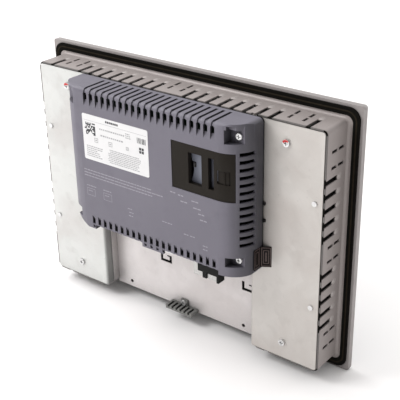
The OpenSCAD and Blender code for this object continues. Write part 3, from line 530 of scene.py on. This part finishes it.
def label_print():
    """Black print of the label: a title of bars, a pattern of random blocks and two generic marks."""
    title = [1.9, 2.2, 1.6, 2.4, 1.8, 2.1, 2.0]
    ink = print_row(LEFT - 33, TOP - 3.4, REAR, 2.2, title, 0.55)
    cell = 1.5
    for column in range(10):
        for line in range(9):
            if rng.random() < 0.55:
                ink.append(block(LEFT - 3 - cell * column, TOP - 9 - cell * line, REAR, cell, cell))
    for k in range(6):
        ink.append(block(LEFT - 75.5 - 2.1 * k, TOP - 10.5, REAR, rng.choice((0.8, 1.3)), 6))
    for z in (20.8, 24.2):
        for x in (77.8, 81.2):
            ink.append(block(LEFT - x, TOP - z, REAR, 2.8, 2.8))
    boxes_piece("label_print", ink, INK)


def label_fine_print():
    """Grey print of the label: a rule, rows of bars and empty frames."""
    margin = 2
    width = LEFT - LABEL_LO[0] - 2 * margin
    grey = [block(LEFT - margin, TOP - 6.6, REAR, width, 0.3)]
    grey += print_row(LEFT - 24, TOP - 13, REAR, 1.6, random_words(30, 1.2, 2.6))
    grey += print_row(LEFT - 25, TOP - 20, REAR, 1.6, random_words(26, 1.2, 2.6))
    for k in range(3):
        words = random_words(4 + 3 * rng.random(), 1.0, 2)
        grey += print_row(LEFT - 60, TOP - 10 - 2.2 * k, REAR, 1.1, words)
    for x, size in ((16, 5), (36, 5), (60, 3.6)):
        grey += outline(LEFT - x, TOP - 24.5, REAR, size, size, 0.6)
        grey += print_row(LEFT - x - 1.4, TOP - 24.5 - size / 2, REAR, 1.2, [size - 2.8])
    for k in range(8):
        x = LEFT - 34 - 4 * rng.random()
        words = random_words(38 + 8 * rng.random(), 0.9, 3.0)
        grey += print_row(x, TOP - 33.5 - 2.0 * k, REAR, 1.0, words)
    for k in range(6):
        words = random_words(12 + 12 * rng.random(), 1.0, 3)
        grey += print_row(LEFT - 4, TOP - 35.5 - 2.2 * k, REAR, 1.0, words)
    boxes_piece("label_fine_print", grey, GREY_INK)


def housing_print():
    """Pale rows of bars on the housing, in place of its lines of text and port names."""
    y = box_mm("box_shell")[1][1]
    # (x, z, width) of the pairs of words beside the card windows, and (x, z) of the short ones
    window_words = (
        (-31, 45, 7), (-41, 44, 7), (-58, 42, 9), (-44, 38, 9), (-60, 35, 10), (-66, 30, 8), (-68, 24, 9),
    )
    port_words = ((28, 9), (26, 5), (27, 1), (-19, 8), (-26, 8), (-47, 2), (-55, 2), (-71, -4), (-71, -8))
    pale = []
    for k in range(3):
        pale += print_row(88, 39.5 - 3.4 * k, y, 1.1, random_words(92 + 14 * (k % 2), 2, 6))
    for x, z, width in window_words:
        pale += print_row(x, z, y, 1.3, [width * 0.45, width * 0.4])
    for x in (86, 62):
        pale += print_row(x, 21, y, 1.0, random_words(12, 2, 5))
        pale += outline(x, 18, y, 12, 8.5, 0.45)
        pale += print_row(x - 2, 15, y, 0.9, [3, 2.5])
    for x, z in port_words:
        pale += print_row(x, z, y, 1.0, [3.2, 2.2])
    boxes_piece("housing_print_marks", pale, PALE_INK)


def seal_print():
    """Plain frames on the seal, which runs down the side of the housing, then slants onto the cover."""
    fold = Vector((box_mm("box_shell")[0][0] - 0.15, 43.1, 0))
    slant = Vector((-9.55, -5.65, 0)).normalized()
    off_slant = Vector((slant.y, -slant.x, 0)) * INK_DEPTH
    on_slant = ((1.0, 10.2, -26.0, -5.0), (2.8, 8.4, -23.0, -8.0), (4.8, 6.4, -20.5, -10.5))
    on_side = ((1.2, 10.2, -26.0, -5.0), (3.2, 8.2, -23.0, -8.0))
    vertices, faces = [], []
    for along, lift, frames in (
        (slant, off_slant, on_slant),
        (Vector((0, 1, 0)), Vector((-INK_DEPTH, 0, 0)), on_side),
    ):
        for u0, u1, z0, z1 in [bar for corners in frames for bar in frame_bars(*corners, 0.5)]:
            first = len(vertices)
            for u, z in ((u0, z0), (u1, z0), (u1, z1), (u0, z1)):
                vertices.append(fold + along * u + lift + Vector((0, 0, z)))
            faces.append((first, first + 1, first + 2, first + 3))
    mesh_piece("seal_print", vertices, faces, SEAL_INK, smooth=False)


# --- Trim --------------------------------------------------------------------------------

# The chassis walls stand a little outside the cover seals, and their slots have one pitch.
SEAL_HI = box_mm("cover_seals")[1]
WALL_LAND = 0.4
WALL_X, WALL_Z = SEAL_HI[0] + WALL_LAND, SEAL_HI[2] + WALL_LAND
FIRST_SLOT, SLOT_PITCH, CORNER_SLOT = 20.7, 14.6, 164.5


def slot_row(count):
    return [side * (FIRST_SLOT + SLOT_PITCH * k) for side in (-1, 1) for k in range(count)]


SLOT_XS = slot_row(8) + [-CORNER_SLOT, CORNER_SLOT]
SLOT_ZS = slot_row(5)


def slot_blisters():
    """A blister at the front end of each slot in the four chassis walls, in a lighter copy of the chassis
    coat: painted light.
    """
    y, radii, height = 11.9, (3.1, 4.2), 0.6
    vertices, faces = [], []
    for x in SLOT_XS:
        for side in (-1, 1):
            centre = (x, y, side * WALL_Z)
            dome(vertices, faces, centre, (side, 0, 0), (0, 1, 0), (0, 0, side), radii, height)
    for z in SLOT_ZS:
        for side in (-1, 1):
            centre = (side * WALL_X, y, z)
            dome(vertices, faces, centre, (0, 0, -side), (0, 1, 0), (side, 0, 0), radii, height)
    mesh_piece("slot_blisters", vertices, faces, LIT_BLISTER_COAT)


def wall_rim():
    """A guessed rim on the seal beside the covers, broken where a slot opens the wall. It is coated in a
    dark copy of the chassis coat, as painted shade.
    """
    width, corner, cover_start = 1.3, 4.5, 110
    y_low, y_high = SEAL_HI[1] - 0.9, SEAL_HI[1] + 0.5
    rim = []
    for side in (-1, 1):
        x_low, x_high = span(side, WALL_X - width, WALL_X)
        for low, high in unslotted(corner - WALL_Z, WALL_Z - corner, SLOT_ZS, 4.5):
            rim.append(((x_low, y_low, low), (x_high, y_high, high)))
        x_low, x_high = span(side, cover_start, WALL_X - corner)
        for end in (-1, 1):
            z_low, z_high = span(end, WALL_Z - width, WALL_Z)
            for low, high in unslotted(x_low, x_high, SLOT_XS, 2.6):
                rim.append(((low, y_low, z_low), (high, y_high, z_high)))
    boxes_piece("wall_rim", rim, SHADED_RIM_COAT)


def gasket_bead():
    """A low bead that runs round the middle of the gasket."""
    half_width, rear, half_height = box_mm("panel_gasket")[1]
    profile = ((-0.9, -0.1), (-0.6, 0.22), (0.6, 0.22), (0.9, -0.1))
    vertices, faces = [], []
    for offset, lift in profile:
        width, height = half_width * 2 - 7 + 2 * offset, half_height * 2 - 8 + 2 * offset
        vertices.extend((x, rear + lift, z) for x, z in rounded_loop(width, height, 10 + offset))
    count = len(vertices) // len(profile)
    for ring in range(len(profile) - 1):
        for k in range(count):
            a, b = ring * count + k, ring * count + (k + 1) % count
            faces.append((a, b, b + count, a + count))
    mesh_piece("gasket_bead", vertices, faces, GASKET_EDGE)


def torque_marks():
    """An arc of red lacquer over the edge of each upper cover screw."""
    screw_x, screw_z, reach = 142.9, 110.8, 2.6
    y = box_mm("cover_screws")[1][1] - 0.25
    vertices, faces = [], []
    for side in (-1, 1):
        for k in range(7):
            a = math.radians(25 + 17 * k)
            centre = (side * screw_x + reach * math.cos(a), y, screw_z + reach * math.sin(a))
            dome(vertices, faces, centre, (-1, 0, 0), (0, 0, 1), (0, 1, 0), (1.5, 1.3), 0.55, 3, 10)
    mesh_piece("torque_marks", vertices, faces, RED)


# The first three draw from the random numbers, so their order stays.
label_print()
label_fine_print()
housing_print()
seal_print()
slot_blisters()
wall_rim()
gasket_bead()
torque_marks()


# --- Studio ------------------------------------------------------------------------------

FLOOR_SIZE, FLOOR_GAP = 12, 0.0003
ROOM_COLOUR = (1, 0.995, 0.985, 1)
ROOM_DIM, ROOM_BRIGHT = 0.65, 1.0

AZIMUTH, ELEVATION, ROLL = math.radians(218.24), math.radians(25.97), math.radians(-1.21)
DISTANCE = 0.97014
TARGET = Vector((-23.8, 18, 10.65)) * MM
SENSOR_MM, LENS_MM = 36, 82.3


def plain(name, colour, roughness):
    """An even, barely clouded surface."""
    f = Finish(name, colour, roughness)
    f.tint(f.ramp(f.noise(3, 2), 0.4, 0.6), shade(colour, 0.985), 0.5)
    return f.material


def lay_floor():
    bpy.ops.mesh.primitive_plane_add(size=FLOOR_SIZE, location=(0, 0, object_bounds()[0].z - FLOOR_GAP))
    floor = bpy.context.object
    floor.name = "floor"
    floor.data.materials.append(plain("floor_paper", (0.965, 0.95, 0.95), 0.8))


def light_room():
    """A pale room that gets brighter from -X to +X."""
    world = bpy.data.worlds.new("studio")
    world.use_nodes = True
    nodes, links = world.node_tree.nodes, world.node_tree.links
    background = nodes["Background"]
    background.inputs["Color"].default_value = ROOM_COLOUR
    split = nodes.new("ShaderNodeSeparateXYZ")
    links.new(nodes.new("ShaderNodeTexCoord").outputs["Generated"], split.inputs[0])
    falloff = nodes.new("ShaderNodeMapRange")
    links.new(split.outputs["X"], falloff.inputs["Value"])
    falloff.inputs["From Min"].default_value = -1
    falloff.inputs["To Min"].default_value = ROOM_DIM
    falloff.inputs["To Max"].default_value = ROOM_BRIGHT
    links.new(falloff.outputs["Result"], background.inputs["Strength"])
    scene.world = world
    scene.view_settings.view_transform = "Standard"


def softbox(name, place, target, size, power):
    """A white rectangular lamp that is aimed at the target; metres and watts."""
    light = bpy.data.lights.new(name, "AREA")
    light.shape = "RECTANGLE"
    light.size, light.size_y = size
    light.energy = power
    obj = bpy.data.objects.new(name, light)
    obj.location = place
    obj.rotation_euler = (Vector(target) - Vector(place)).to_track_quat("-Z", "Y").to_euler()
    scene.collection.objects.link(obj)


def place_camera():
    """Looks at TARGET from behind, above and to the right, rolled a little."""
    back = Vector((
        math.sin(AZIMUTH) * math.cos(ELEVATION),
        -math.cos(AZIMUTH) * math.cos(ELEVATION),
        math.sin(ELEVATION),
    ))
    right = (-back).cross(Vector((0, 0, 1))).normalized()
    up = right.cross(-back)
    right_rolled = right * math.cos(ROLL) + up * math.sin(ROLL)
    up_rolled = up * math.cos(ROLL) - right * math.sin(ROLL)
    turn = Matrix((right_rolled, up_rolled, back)).transposed()
    camera = bpy.data.objects.new("camera", bpy.data.cameras.new("camera"))
    camera.data.sensor_width = SENSOR_MM
    camera.data.lens = LENS_MM
    camera.data.clip_start = 0.05
    camera.data.clip_end = 30
    camera.matrix_world = Matrix.Translation(TARGET + back * DISTANCE) @ turn.to_4x4()
    scene.collection.objects.link(camera)
    scene.camera = camera


lay_floor()
light_room()
softbox("key", (0.85, 0.85, 1.05), (0.05, 0.05, 0.05), (0.6, 0.6), 13.5)
softbox("top", (1.15, 0.0, 1.45), (0.05, 0, 0), (1.1, 1.1), 12.5)
softbox("front_fill", (-0.6, -1.5, 0.7), (0, 0, 0), (1.4, 1.0), 8)
place_camera()
